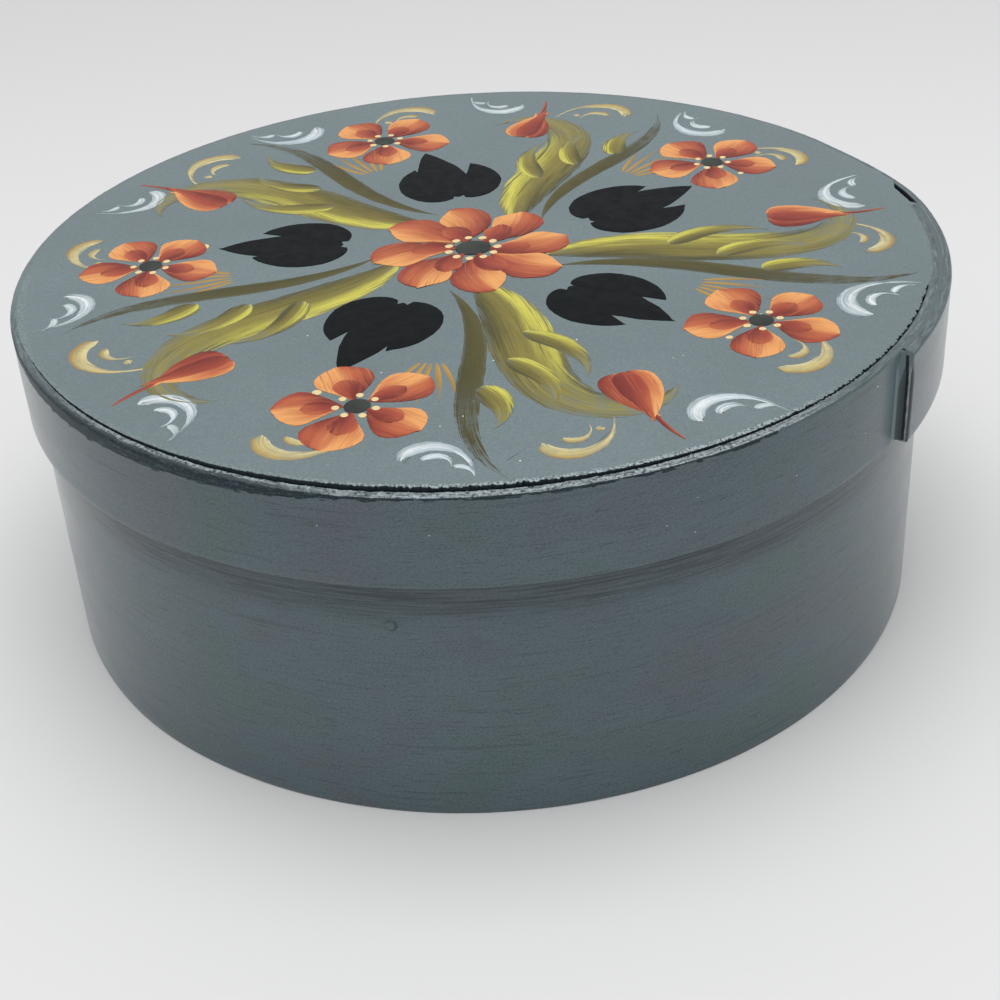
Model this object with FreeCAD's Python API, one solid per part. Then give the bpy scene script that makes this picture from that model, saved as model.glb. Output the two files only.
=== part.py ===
import FreeCAD, Part
import math
import os

# A round bentwood box with a lift-off lid, in millimetres. +Z is up, and the
# origin is the centre of the underside of the bottom board. +Y points away
# from the side that is usually seen. Angles are in degrees, counter-clockwise
# from +X, looked at from above.
#
# Each half is one thin strip of wood, steamed and bent round a turned board
# until its ends overlap. The lid's strip has a plain lap: its outer end stays
# square, and stands out from the side. The body's strip has a scarfed lap,
# pared to feather ends, so that the outside stays round and the lid slides on.

# Body
body_radius = 122.2
body_strip = 2.4
body_height = 89.0
bottom_thickness = 7.0
bottom_gap = 0.15

# Lid
lid_radius = 125.0
lid_strip = 2.4
lid_band_low = 69.7
lid_band_high = 94.2
lid_board_thickness = 6.2
lid_board_gap = 0.4

# The lid's plain lap: the square outer end, the inner end that it covers, and
# the foot, where the outer layer has come back in to the lid's own radius
lap_outer_end = -35.5
lap_inner_end = 5.5
lap_foot = 28.0
lap_glue_gap = 0.8

# The body's scarfed lap, at the back
scarf_start = 75.0
scarf_end = 105.0
scarf_feather = 0.5
scarf_glue_gap = 0.25
scarf_end_play = 0.15

# Edges eased with a knife and sandpaper
lid_rim_bevel = 1.0
lid_hem_bevel = 0.4
body_foot_bevel = 0.6
board_bevel = 0.6

# Whittled wooden pegs, eight-sided and tapered, driven through the strips into
# the edges of the boards. They are pared off just under the surface and
# painted over, and the wood round them is pressed to their shape.
peg_sides = 8
peg_tip_radius = 1.0
peg_taper = 0.04
peg_bite = 9.0
peg_set_back = 0.35
bottom_peg_count = 10
bottom_peg_first = 18.0
bottom_peg_height = 3.5
lid_peg_count = 8
lid_peg_first = 22.5

body_inside = body_radius - body_strip
lid_inside = lid_radius - lid_strip
bottom_radius = body_inside - bottom_gap
lid_board_radius = lid_inside - lid_board_gap
lid_peg_height = body_height + lid_board_thickness / 2

SPLINE_STEP = 4.0
HOLE_OVERRUN = 2.0


def at(radius, angle, height=0.0):
    """The point at a radius and an angle round the box's axis."""
    turn = math.radians(angle)
    return FreeCAD.Vector(radius * math.cos(turn), radius * math.sin(turn), height)


def ease(share):
    """A slope from 0 to 1 that starts and ends level."""
    share = min(1.0, max(0.0, share))
    return share * share * (3 - 2 * share)


def arc(radius, start, end):
    """A round stretch of outline between two angles."""
    return Part.Arc(at(radius, start), at(radius, (start + end) / 2), at(radius, end)).toShape()


def drift(radius_at, start, end):
    """A stretch of outline whose radius follows a formula in the angle."""
    steps = round(abs(end - start) / SPLINE_STEP)
    angles = [start + (end - start) * i / steps for i in range(steps + 1)]
    curve = Part.BSplineCurve()
    curve.interpolate(Points=[at(radius_at(angle), angle) for angle in angles])
    return curve.toShape()


def square_end(angle, from_radius, to_radius):
    """The end of a strip, cut square."""
    return Part.LineSegment(at(from_radius, angle), at(to_radius, angle)).toShape()


def stand_strip(outline, low, high):
    """A strip standing on its edge, from its outline seen from above."""
    face = Part.Face(Part.Wire(outline))
    face.translate(FreeCAD.Vector(0, 0, low))
    return face.extrude(FreeCAD.Vector(0, 0, high - low))


def long_edges(solid, height, radius_low, radius_high):
    """The edges that run round the box at one height, between two radii."""
    found = []
    for edge in solid.Edges:
        middle = edge.valueAt((edge.FirstParameter + edge.LastParameter) / 2)
        level = abs(edge.BoundBox.ZMin - height) < 0.01 and abs(edge.BoundBox.ZMax - height) < 0.01
        in_range = radius_low < math.hypot(middle.x, middle.y) < radius_high
        if level and in_range and edge.Length > 4 * lid_strip:
            found.append(edge)
    return found


def peg(board_radius, outer_end, inner_end, angle, height):
    """A peg that points at the box's axis, between two distances from it. Its
    tip lies a peg's bite inside the edge of the board."""
    sections = []
    for reach in (outer_end, inner_end):
        size = peg_tip_radius + peg_taper * (reach - board_radius + peg_bite)
        corners = []
        for i in range(peg_sides + 1):
            turn = 2 * math.pi * (i + 0.5) / peg_sides
            aside = at(size * math.cos(turn), angle + 90, height + size * math.sin(turn))
            corners.append(at(reach, angle) + aside)
        sections.append(Part.makePolygon(corners))
    return Part.makeLoft(sections, True, True)


def lap_stand_off(angle):
    """How far the lid's outer layer stands out from the round."""
    ramp = (angle - lap_inner_end) / (lap_foot - lap_inner_end)
    return (lid_strip + lap_glue_gap) * (1 - ease(ramp))


def lid_outside(angle):
    """The radius of the lid's outermost face, at an angle from -180 to 180."""
    on_lap = lap_outer_end < angle < lap_foot
    return lid_radius + (lap_stand_off(angle) if on_lap else 0)


def peg_angles(count, first):
    """Evenly spaced angles from -180 to 180."""
    return [first - 180 + 360 / count * i for i in range(count)]


def make_lid_band():
    """The lid's strip. It starts at the square outer end, covers its own
    inner end, comes in to the round at the lap's foot, and runs on round the
    box and under its outer end."""
    tail = lap_inner_end + 360
    outline = [
        drift(lambda angle: lid_radius + lap_stand_off(angle), lap_outer_end, lap_foot),
        arc(lid_radius, lap_foot, tail),
        square_end(tail, lid_radius, lid_inside),
        arc(lid_inside, tail, lap_foot),
        drift(lambda angle: lid_inside + lap_stand_off(angle), lap_foot, lap_outer_end),
        square_end(lap_outer_end, lid_inside + lap_stand_off(lap_outer_end),
                   lid_radius + lap_stand_off(lap_outer_end)),
    ]
    band = stand_strip(outline, lid_band_low, lid_band_high)
    lap_radius = lid_radius + lap_stand_off(lap_outer_end)
    rim = long_edges(band, lid_band_high, lid_radius - lid_strip / 4, lap_radius + 1)
    hem = long_edges(band, lid_band_low, lid_radius - lid_strip / 4, lap_radius + 1)
    band = band.makeChamfer(lid_rim_bevel, rim).makeChamfer(lid_hem_bevel, hem)
    for angle in peg_angles(lid_peg_count, lid_peg_first):
        outer_end = lid_outside(angle) + HOLE_OVERRUN
        inner_end = lid_inside - HOLE_OVERRUN
        band = band.cut(peg(lid_board_radius, outer_end, inner_end, angle, lid_peg_height))
    return band


def make_body_band():
    """The body's strip, with its scarfed lap. The outer end is a feather that
    starts the scarf, and the inner end is a feather that finishes it."""
    turn = 360 - scarf_end_play
    feather_face = body_radius - scarf_feather
    inner_feather = body_inside + scarf_feather

    def slope(angle, outer, inner):
        return outer + (inner - outer) * (angle - scarf_start) / (scarf_end - scarf_start)

    outline = [
        arc(body_radius, scarf_start, scarf_start + turn),
        square_end(scarf_start + turn, body_radius, feather_face - scarf_glue_gap),
        drift(lambda angle: slope(angle - turn, feather_face - scarf_glue_gap, inner_feather),
              scarf_start + turn, scarf_end + turn),
        square_end(scarf_end + turn, inner_feather, body_inside),
        arc(body_inside, scarf_end + turn, scarf_end),
        square_end(scarf_end, body_inside, inner_feather + scarf_glue_gap),
        drift(lambda angle: slope(angle, feather_face, inner_feather + scarf_glue_gap),
              scarf_end, scarf_start),
        square_end(scarf_start, feather_face, body_radius),
    ]
    band = stand_strip(outline, 0, body_height)
    foot = long_edges(band, 0, body_radius - 0.1, body_radius + 0.1)
    band = band.makeChamfer(body_foot_bevel, foot)
    for angle in peg_angles(bottom_peg_count, bottom_peg_first):
        outer_end = body_radius + HOLE_OVERRUN
        inner_end = body_inside - HOLE_OVERRUN
        band = band.cut(peg(bottom_radius, outer_end, inner_end, angle, bottom_peg_height))
    return band


def make_board(radius, low, thickness, peg_height, angles):
    """A turned board with eased edges and blind holes for its pegs."""
    board = Part.makeCylinder(radius, thickness, FreeCAD.Vector(0, 0, low))
    rims = long_edges(board, low, radius - 1, radius + 1) + long_edges(board, low + thickness, radius - 1, radius + 1)
    board = board.makeChamfer(board_bevel, rims)
    for angle in angles:
        board = board.cut(peg(radius, radius + HOLE_OVERRUN, radius - peg_bite, angle, peg_height))
    return board


def make_pegs(outside, board_radius, height, angles):
    """One ring of pegs, from just under the painted side into the board."""
    pegs = []
    for angle in angles:
        outer_end = outside(angle) - peg_set_back
        pegs.append(peg(board_radius, outer_end, board_radius - peg_bite, angle, height))
    return Part.makeCompound(pegs)


def make_parts():
    """Every piece, by name."""
    bottom_angles = peg_angles(bottom_peg_count, bottom_peg_first)
    lid_angles = peg_angles(lid_peg_count, lid_peg_first)
    return {
        "body_band": make_body_band(),
        "bottom_board": make_board(bottom_radius, 0, bottom_thickness, bottom_peg_height, bottom_angles),
        "bottom_pegs": make_pegs(lambda angle: body_radius, bottom_radius, bottom_peg_height, bottom_angles),
        "lid_band": make_lid_band(),
        "lid_board": make_board(lid_board_radius, body_height, lid_board_thickness, lid_peg_height, lid_angles),
        "lid_pegs": make_pegs(lid_outside, lid_board_radius, lid_peg_height, lid_angles),
    }


os.makedirs("parts", exist_ok=True)
for name, shape in make_parts().items():
    if not shape.isValid():
        raise ValueError(name + " is not a valid solid")
    shape.exportStep("parts/" + name + ".step")
    print(name, "solids", len(shape.Solids), "volume mm3", round(shape.Volume))
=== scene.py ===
import math
import random

import bpy
from mathutils import Matrix, Vector, noise


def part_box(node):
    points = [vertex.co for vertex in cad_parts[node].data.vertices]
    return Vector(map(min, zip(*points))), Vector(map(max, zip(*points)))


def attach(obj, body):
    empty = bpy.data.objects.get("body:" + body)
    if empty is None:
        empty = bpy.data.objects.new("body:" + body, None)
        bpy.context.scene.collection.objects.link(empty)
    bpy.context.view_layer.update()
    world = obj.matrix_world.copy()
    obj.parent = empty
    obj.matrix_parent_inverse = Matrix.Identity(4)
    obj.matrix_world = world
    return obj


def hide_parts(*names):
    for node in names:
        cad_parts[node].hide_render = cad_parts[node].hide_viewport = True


# A round bentwood box with a lift-off lid, painted slate blue-grey, with a
# freely brushed folk painting on the lid. Metres, in the frame of the packed
# part. Angles are in degrees, counter-clockwise from +X, seen from above.

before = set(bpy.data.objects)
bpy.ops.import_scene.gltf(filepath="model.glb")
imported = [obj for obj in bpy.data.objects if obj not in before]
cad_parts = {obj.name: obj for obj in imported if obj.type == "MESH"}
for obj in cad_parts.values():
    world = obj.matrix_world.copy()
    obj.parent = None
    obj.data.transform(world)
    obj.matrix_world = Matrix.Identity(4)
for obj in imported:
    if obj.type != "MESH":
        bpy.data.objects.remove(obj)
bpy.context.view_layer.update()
random.seed(11)

MM = 0.001


# Sizes

def measure(node):
    """The radius of a round node of the part, and its lower and upper height."""
    low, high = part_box(node)
    return round(high.y, 4), low.z, high.z


lid_radius, lid_low, lid_rim_height = measure("lid_band")
board_radius, lid_board_low, lid_top = measure("lid_board")
body_radius, body_low, body_height = measure("body_band")
bottom_radius, bottom_low, bottom_thickness = measure("bottom_board")

# The strips and their laps
strip = 2.4 * MM
lap_outer_end = -35.5
lap_inner_end = 5.5
lap_foot = 28.0
lap_glue_gap = 0.8 * MM
scarf_start = 75.0
scarf_end = 105.0
scarf_feather = 0.5 * MM
scarf_glue_gap = 0.25 * MM
scarf_end_play = 0.15

# A peg's painted head that stands out on the body's front, and a nub at its left
PEG_HEAD_ANGLE = 258.9
PEG_HEAD_HEIGHT = 57.4 * MM
NUB_ANGLE = 197.0
NUB_HEIGHT = 41.0 * MM


# Colours

def hue(red, green, blue):
    """A linear colour from its values on the usual scale of 0 to 255."""
    return tuple((value / 255) ** 2.2 for value in (red, green, blue)) + (1,)


def shade(colour, factor):
    """The same colour, darker or lighter."""
    return tuple(min(1, value * factor) for value in colour[:3]) + (1,)


SLATE_SIDE = hue(74, 93, 100)
SLATE_DARK = hue(36, 53, 63)
SLATE_LIGHT = hue(96, 114, 120)
# SLATE_TOP is a lighter copy of the sides' slate paint for the lid's top: painted light from above.
SLATE_TOP = hue(111, 124, 127)
SLATE_VIOLET = hue(82, 90, 99)
SLATE_GREEN = hue(74, 95, 95)
RIM_PALE = hue(140, 150, 154)
RIM_DARK = hue(46, 56, 62)
# CRACK_BLACK is painted shade inside the crack round the lid and in the split at the lap's end.
CRACK_BLACK = hue(32, 44, 52)
LIP_PALE = hue(166, 173, 175)
BARE_WOOD = hue(206, 184, 152)
BARE_WOOD_DARK = hue(176, 148, 114)
OLIVE = hue(122, 113, 58)
OLIVE_BRIGHT = hue(206, 200, 88)
OLIVE_DARK = hue(74, 70, 38)
LEAF_BLACK = hue(14, 19, 21)
ORANGE = hue(186, 100, 66)
ORANGE_PALE = hue(228, 160, 98)
BRICK = hue(154, 68, 52)
BRICK_DARK = hue(108, 38, 34)
OCHRE = hue(160, 126, 66)
CREAM = hue(196, 180, 118)
CREAM_PALE = hue(220, 208, 158)
CHALK = hue(226, 233, 236)
CHALK_THIN = hue(172, 188, 194)
PISTIL = hue(46, 52, 48)
BUTTER = hue(238, 214, 160)
FLOOR_TONE = (0.74, 0.74, 0.74, 1)
BACKGROUND_TONE = (0.72, 0.72, 0.72, 1)


# Places and slopes

def polar(radius, angle, height=0.0):
    """A point round the box's axis."""
    turn = math.radians(angle)
    return Vector((radius * math.cos(turn), radius * math.sin(turn), height))


def ease(share):
    """A slope from 0 to 1 that starts and ends level."""
    share = min(1.0, max(0.0, share))
    return share * share * (3 - 2 * share)


def bump_at(distance, reach):
    """A soft bump: 1 at no distance, 0 from the reach on."""
    return ease(1 - distance / reach)


def rough(angle, height, size, seed):
    """Smooth noise on the side of the box, from -1 to 1, with features of a size."""
    place = polar(lid_radius, angle, height) / size
    return noise.noise(place + Vector((seed, 2.3 * seed, 0)))


def grain(angle, *layers):
    """A sum of such noise along the lid's rim, in millimetres. Each layer has a
    depth, the size of its features, and a seed."""
    return sum(depth * rough(angle, 0, size * MM, seed) for depth, size, seed in layers)


def spread(start, stop, step):
    """Even stations from start to stop, about a step apart."""
    count = max(1, round((stop - start) / step))
    return [start + (stop - start) * i / count for i in range(count + 1)]


# Materials

class Recipe:
    """A node tree, put together step by step."""

    def __init__(self, owner):
        owner.use_nodes = True
        self.nodes = owner.node_tree.nodes
        self.links = owner.node_tree.links

    def feed(self, socket, value):
        if isinstance(value, bpy.types.NodeSocket):
            self.links.new(value, socket)
        elif value is not None:
            socket.default_value = value

    def step(self, kind, inputs=(), output=0, **settings):
        """One output of a new node. Its inputs come in a row, or by name."""
        node = self.nodes.new("ShaderNode" + kind)
        for key, value in settings.items():
            setattr(node, key, value)
        for key, value in inputs.items() if isinstance(inputs, dict) else enumerate(inputs):
            self.feed(node.inputs[key], value)
        return node.outputs[output]

    def part(self, where, axis):
        return self.step("SeparateXYZ", (where,), axis)

    def calc(self, operation, first, *others, clamp=False):
        """One kind of sum over all the values, from the first to the last."""
        for other in others or (None,):
            first = self.step("Math", (first, other), operation=operation, use_clamp=clamp)
        return first

    def times(self, *values):
        return self.calc("MULTIPLY", *values)

    def plus(self, *values):
        return self.calc("ADD", *values)

    def minus(self, *values):
        return self.calc("SUBTRACT", *values)

    def weigh(self, *shares):
        """The sum of values that each have a weight."""
        return self.plus(*[self.times(value, weight) for value, weight in shares])

    def span(self, value, low, high, to_low=0.0, to_high=1.0):
        """The value's way from low to high, eased and turned into another range."""
        return self.step("MapRange", (value, low, high, to_low, to_high), interpolation_type="SMOOTHSTEP")

    def between(self, value, rise, fall):
        """A zone of the value between two slopes, 1 at the second end of both."""
        return self.times(self.span(value, *rise), self.span(value, *fall))


class Paint(Recipe):
    """A material for a surface."""

    def __init__(self, name, **settings):
        self.material = bpy.data.materials.new(name)
        super().__init__(self.material)
        self.shader = self.nodes["Principled BSDF"]
        self.place = self.step("TexCoord", output="Object")
        for socket, value in settings.items():
            self.shader.inputs[socket.replace("_", " ")].default_value = value

    def surface(self, name):
        """The surface coordinates of a mesh, by the name of their layer."""
        return self.step("UVMap", uv_map=name)

    def azimuth(self):
        """The angle round the box's axis, in degrees from -180 to 180."""
        turn = self.calc("ARCTAN2", self.part(self.place, 1), self.part(self.place, 0))
        return self.times(turn, 180 / math.pi)

    def radius(self):
        """The distance from the box's axis."""
        squares = [self.calc("POWER", self.part(self.place, axis), 2.0) for axis in (0, 1)]
        return self.calc("SQRT", self.plus(*squares))

    def away(self, point):
        """The distance from a point."""
        return self.step("VectorMath", (self.place, point), "Value", operation="DISTANCE")

    def speckle(self, where, scale, detail=3.0, roughness=0.55, distortion=0.0, offset=(0, 0, 0), turn=0):
        """Uneven tones, finer with a larger scale, which may differ by axis."""
        scale = scale if isinstance(scale, tuple) else (scale,) * 3
        where = self.step("Mapping", {"Vector": where, "Scale": scale, "Location": offset})
        if turn:
            inputs = {"Vector": where, "Angle": math.radians(turn)}
            where = self.step("VectorRotate", inputs, rotation_type="Z_AXIS")
        return self.step("TexNoise", {"Vector": where, "Scale": 1.0, "Detail": detail,
                                      "Roughness": roughness, "Distortion": distortion})

    def grit(self, where):
        return self.speckle(where, (1500, 1900, 1), 2.0, 0.7, turn=37)

    def blend(self, amount, first, second):
        """The first colour, and more of the second with a larger amount."""
        return self.step("Mix", {0: amount, 6: first, 7: second}, 2, data_type="RGBA")

    def tint(self, colour, *tints, within=None):
        """The colour with others laid over it. Each comes in as its value goes
        from low to high, up to its most, and only within the zone, if any."""
        for value, low, high, most, other in tints:
            amount = self.span(value, low, high, 0.0, most)
            amount = amount if within is None else self.times(within, amount)
            colour = self.blend(amount, colour, other)
        return colour

    def ramp(self, value, stops):
        """Colours for a value, eased from stop to stop."""
        colour = self.step("ValToRGB", (value,))
        scale = colour.node.color_ramp
        scale.interpolation = "EASE"
        while len(scale.elements) < len(stops):
            scale.elements.new(0.5)
        for element, (position, tone) in zip(scale.elements, stops.items()):
            element.position = position
            element.color = tone
        return colour

    def relief(self, height, depth, strength=1.0):
        """Small shape in the surface, with its depth in metres."""
        bump = self.step("Bump", {"Height": height, "Distance": depth, "Strength": strength}, "Normal")
        self.feed(self.shader.inputs["Normal"], bump)

    def uneven(self, speckle, low, high):
        """A roughness between two values that follows a speckle."""
        return self.span(speckle, 0.3, 0.7, low, high)

    def finish(self, colour, roughness=None):
        self.feed(self.shader.inputs["Base Color"], colour)
        self.feed(self.shader.inputs["Roughness"], roughness)
        return self.material


def side_colour(make, where, seed):
    """The streaky colour of the sides and its roughness, with the relief of its
    grain. The brush and the grain run round the box, so the streaks do too."""
    streaks = make.speckle(where, (130, 2800, 1), 4.0, 0.62, offset=(seed, 0, 0))
    long_streaks = make.speckle(where, (24, 620, 1), 3.0, 0.6, 0.2, (0, seed, 0))
    clouds = make.speckle(where, (16, 34, 1), offset=(seed, seed, 0))
    patches = make.speckle(where, (30, 45, 1), 2.0, 0.5, 0.5, (0, 2 * seed, 0))
    grit = make.grit(where)
    colour = make.tint(
        make.ramp(clouds, {0.30: SLATE_SIDE, 0.72: shade(SLATE_SIDE, 1.14)}),
        (patches, 0.50, 0.66, 0.70, SLATE_VIOLET),
        (patches, 0.48, 0.34, 0.70, SLATE_GREEN),
        (streaks, 0.565, 0.66, 0.70, SLATE_DARK),
        (streaks, 0.40, 0.30, 0.40, SLATE_LIGHT),
        (long_streaks, 0.57, 0.70, 0.35, SLATE_DARK),
        (grit, 0.50, 0.70, 0.60, SLATE_DARK),
        (grit, 0.46, 0.28, 0.60, SLATE_LIGHT))
    make.relief(make.weigh((streaks, 0.6), (grit, 0.25), (long_streaks, 0.5)), 0.10 * MM, 0.6)
    return colour, make.uneven(clouds, 0.13, 0.21)


def body_paint():
    """Glossy paint on the body: darker brush marks and painted shade in a band under the lid, and painted
    shade round a peg's head.
    """
    make = Paint("painted_body_side", IOR=1.6)
    where = make.surface("along")
    colour, roughness = side_colour(make, where, 8.0)
    height = make.part(make.place, 2)
    # Under the lid's edge: darker brush marks over painted shade of the lid's overhang.
    band = make.between(height, (lid_low - 13 * MM, lid_low - 6 * MM), (lid_low + MM, lid_low - 2 * MM))
    brushed = make.speckle(where, (40, 1600, 1), 4.0, 0.7, 0.2, (7, 0, 0))
    colour = make.blend(make.times(band, make.span(brushed, 0.45, 0.58, 0.22, 1.0)), colour, SLATE_DARK)
    # Painted shade and shadow round the peg's raised head, darkest on the side away from the light.
    from_head = make.away(polar(body_radius, PEG_HEAD_ANGLE, PEG_HEAD_HEIGHT))
    from_lit_side = make.away(polar(body_radius, PEG_HEAD_ANGLE - 0.15, PEG_HEAD_HEIGHT + 0.4 * MM))
    head_shade_ring = make.between(from_head, (1.9 * MM, 1.5 * MM), (1.1 * MM, 1.5 * MM))
    shaded = make.times(make.span(from_head, 1.8 * MM, 1.5 * MM),
                        make.span(from_lit_side, 1.2 * MM, 1.6 * MM))
    marks = make.calc("MAXIMUM", make.times(head_shade_ring, 0.35), make.times(shaded, 0.7))
    return make.finish(make.blend(marks, colour, shade(SLATE_DARK, 0.5)), roughness)


def lid_paint():
    """Glossy paint on the lid's side, by the lap's end: painted shade in the corner,
    a paint bead beside it with a painted highlight, and painted shade along the pared edge."""
    make = Paint("painted_lid_side", IOR=1.6)
    where = make.surface("along")
    colour, roughness = side_colour(make, where, 3.0)
    height = make.part(make.place, 2)
    along = make.part(where, 0)
    end_line = math.radians(360) * (lid_face(lap_outer_end) - strip / 2)
    before_end = make.minus(end_line, along)
    covered = (-0.4 * MM, 0.0)
    close = make.between(before_end, (11 * MM, 3 * MM), covered)
    colour = make.blend(make.times(close, 0.45), colour, shade(SLATE_LIGHT, 1.1))
    roughness = make.plus(roughness, make.times(close, 0.25))
    under_rim = make.span(height, lid_rim_height - MM, lid_rim_height - 5 * MM)
    # A bead of paint beside the corner, made pale as a painted highlight.
    bead = make.between(before_end, (2.6 * MM, 2.1 * MM), (0.7 * MM, 1.1 * MM))
    colour = make.blend(make.times(bead, under_rim, 0.85), colour, shade(SLATE_TOP, 1.5))
    # Painted shade: dark in the corner under the outer layer's end, and along the pared edge of that end.
    filled = make.span(height, lid_rim_height - 10 * MM, lid_rim_height - 1.5 * MM, 0.0, 1.2 * MM)
    outward = make.minus(make.radius(), lid_radius, filled)
    corner = make.times(make.between(before_end, (1.5 * MM, 1.2 * MM), covered),
                        make.span(outward, 0.0, 0.3 * MM), make.span(outward, 0.0, 1.7 * MM, 0.7, 1.0))
    edge = make.times(make.span(along, 0.85 * MM, 0.5 * MM), under_rim, 0.9)
    marks = make.calc("MAXIMUM", corner, edge)
    return make.finish(make.blend(marks, colour, shade(SLATE_DARK, 0.22)), roughness)


def worn_and_shade_paint():
    """Thin, dark and dull paint below the worn rim: worn paint, with painted shade on the rounded edge."""
    make = Paint("worn_and_shade_edge_paint", IOR=1.5, Specular_IOR_Level=0.12)
    where = make.surface("along")
    dashes = make.speckle(where, (190, 1500, 1), 4.0, 0.65)
    grit = make.grit(where)
    colour = make.tint(
        RIM_DARK,
        (dashes, 0.52, 0.66, 0.9, SLATE_SIDE),
        (grit, 0.52, 0.70, 0.5, SLATE_LIGHT),
        (dashes, 0.45, 0.30, 0.7, shade(RIM_DARK, 0.4)))
    make.relief(make.weigh((dashes, 1), (grit, 0.4)), 0.2 * MM, 0.7)
    return make.finish(colour, make.uneven(dashes, 0.35, 0.5))


def rim_paint():
    """Paint on the upper edge of the lid's strip: pale streaks at the front, worn
    paint with a painted highlight and painted glints, and darker towards the lap and the left."""
    make = Paint("painted_rim", IOR=1.5, Specular_IOR_Level=0.3)
    azimuth = make.azimuth()
    patches = make.speckle(make.place, 260, 4.0, 0.65, 0.4)
    flecks = make.speckle(make.place, 1100, 3.0, 0.7)
    streaks = make.speckle(make.surface("along"), (170, 1700, 1), 3.0, 0.65, 0.3)
    calm = {0.34: shade(SLATE_TOP, 0.8), 0.48: shade(SLATE_TOP, 0.92), 0.70: SLATE_TOP}
    pale = {0.36: shade(SLATE_TOP, 0.5), 0.48: shade(RIM_PALE, 0.9), 0.66: shade(RIM_PALE, 1.4)}
    dull = {0.34: shade(SLATE_TOP, 0.42), 0.48: shade(SLATE_TOP, 0.62), 0.66: SLATE_TOP}
    at_front = make.between(azimuth, (-152.0, -132.0), (-44.0, -60.0))
    at_side = make.between(azimuth, (-175.0, -165.0), (40.0, 20.0))
    at_left = make.between(azimuth, (-160.0, -140.0), (-96.0, -118.0))
    ragged = make.times(make.minus(streaks, 0.5), 5 * MM)
    outward = make.plus(make.minus(make.radius(), lid_radius), ragged)
    plain = make.blend(at_side, make.ramp(patches, calm), make.ramp(streaks, dull))
    # At the front: pale worn streaks with a painted highlight, and pale flecks that are partly wear and
    # partly painted glints.
    colour = make.tint(
        make.blend(at_front, plain, make.ramp(streaks, pale)),
        (flecks, 0.56, 0.66, 0.7, shade(RIM_PALE, 1.9)),
        (flecks, 0.47, 0.38, 0.9, shade(SLATE_DARK, 0.8)), within=at_front)
    colour = make.tint(colour, (outward, -1.5 * MM, -0.9 * MM, 0.95, RIM_DARK), within=at_left)
    make.relief(make.plus(streaks, flecks), 0.2 * MM, 0.8)
    return make.finish(colour, make.uneven(patches, 0.35, 0.5))


def lip_paint():
    """Paint on the end of the lap's outer layer: pale, rubbed and with a painted highlight, but not at the
    top.
    """
    make = Paint("painted_lap_end", IOR=1.5, Specular_IOR_Level=0.3)
    patches = make.speckle(make.place, (500, 500, 300), 4.0, 0.6)
    dull = make.ramp(patches, {0.34: shade(SLATE_TOP, 0.85), 0.60: shade(SLATE_TOP, 1.15)})
    pale = make.ramp(patches, {0.34: shade(LIP_PALE, 0.6), 0.60: LIP_PALE})
    # The pale lower part is rubbed paint with a painted highlight on the end.
    lower = make.span(make.part(make.place, 2), lid_rim_height - 2.5 * MM, lid_rim_height - 5 * MM)
    make.relief(patches, 0.2 * MM, 0.7)
    return make.finish(make.blend(lower, dull, pale), make.uneven(patches, 0.35, 0.5))


def plain_paint(name, colour):
    """One paint with a little unevenness, for small marks."""
    make = Paint(name, Specular_IOR_Level=0.3)
    grains = make.speckle(make.place, 900)
    make.relief(grains, 0.1 * MM)
    colour = make.tint(shade(colour, 0.75), (grains, 0.35, 0.7, 1.0, shade(colour, 1.25)))
    return make.finish(colour, make.uneven(grains, 0.4, 0.6))


def top_paint():
    """The lid's ground: the same paint, brushed flat, and lighter as painted
    light from above on the top face. Along the open crack its edge is rubbed pale."""
    make = Paint("painted_ground", IOR=1.5, Specular_IOR_Level=0.18)
    clouds = make.speckle(make.place, 14, 4.0, 0.6, 0.4)
    mottle = make.speckle(make.place, 420, 3.0, 0.6)
    grit = make.speckle(make.place, 1500, 2.0, 0.7)
    brushing = make.speckle(make.place, (60, 900, 1), 3.0, 0.6, 0.3)
    colour = make.tint(
        make.ramp(clouds, {0.30: shade(SLATE_TOP, 0.93), 0.70: shade(SLATE_TOP, 1.07)}),
        (mottle, 0.45, 0.75, 0.20, shade(SLATE_TOP, 0.72)),
        (grit, 0.50, 0.72, 0.42, shade(SLATE_TOP, 1.35)),
        (grit, 0.48, 0.30, 0.42, shade(SLATE_TOP, 0.68)))
    front = make.between(make.azimuth(), (-118.0, -90.0, 0.15, 1.0), (-44.0, -60.0))
    ragged = make.plus(make.radius(), make.times(mottle, 3 * MM))
    near_edge = make.times(front, make.span(ragged, board_radius + 0.1 * MM, board_radius + 1.1 * MM))
    colour = make.tint(
        colour,
        (grit, 0.44, 0.56, 0.9, shade(RIM_PALE, 1.5)),
        (grit, 0.44, 0.36, 1.0, shade(SLATE_TOP, 0.45)), within=near_edge)
    make.relief(make.weigh((mottle, 0.5), (grit, 0.3), (brushing, 0.35)), 0.06 * MM, 0.5)
    return make.finish(colour, make.uneven(clouds, 0.40, 0.50))


def crack_paint():
    """The side of the board inside the crack round the lid: bare wood, made near-black as painted shade in
    the crack.
    """
    make = Paint("crack_dark", Roughness=0.8)
    specks = make.speckle(make.place, 900)
    make.relief(specks, 0.2 * MM)
    return make.finish(make.tint(CRACK_BLACK, (specks, 0.5, 0.8, 0.6, SLATE_DARK)))


def strip_wood():
    """Bare wood inside a bent strip: straight grain that runs round."""
    make = Paint("bare_strip_wood", IOR=1.45)
    where = make.surface("along")
    bands = make.speckle(where, (5, 260, 1), 4.0, 0.6, 0.5)
    fibres = make.speckle(where, (160, 3200, 1), 4.0, 0.65)
    colour = make.ramp(bands, {0.30: BARE_WOOD_DARK, 0.48: BARE_WOOD, 0.75: shade(BARE_WOOD, 1.18)})
    colour = make.tint(colour, (fibres, 0.50, 0.75, 0.45, BARE_WOOD_DARK))
    make.relief(make.weigh((fibres, 1), (bands, 0.6)), 0.12 * MM, 0.7)
    return make.finish(colour, make.uneven(fibres, 0.55, 0.72))


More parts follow.
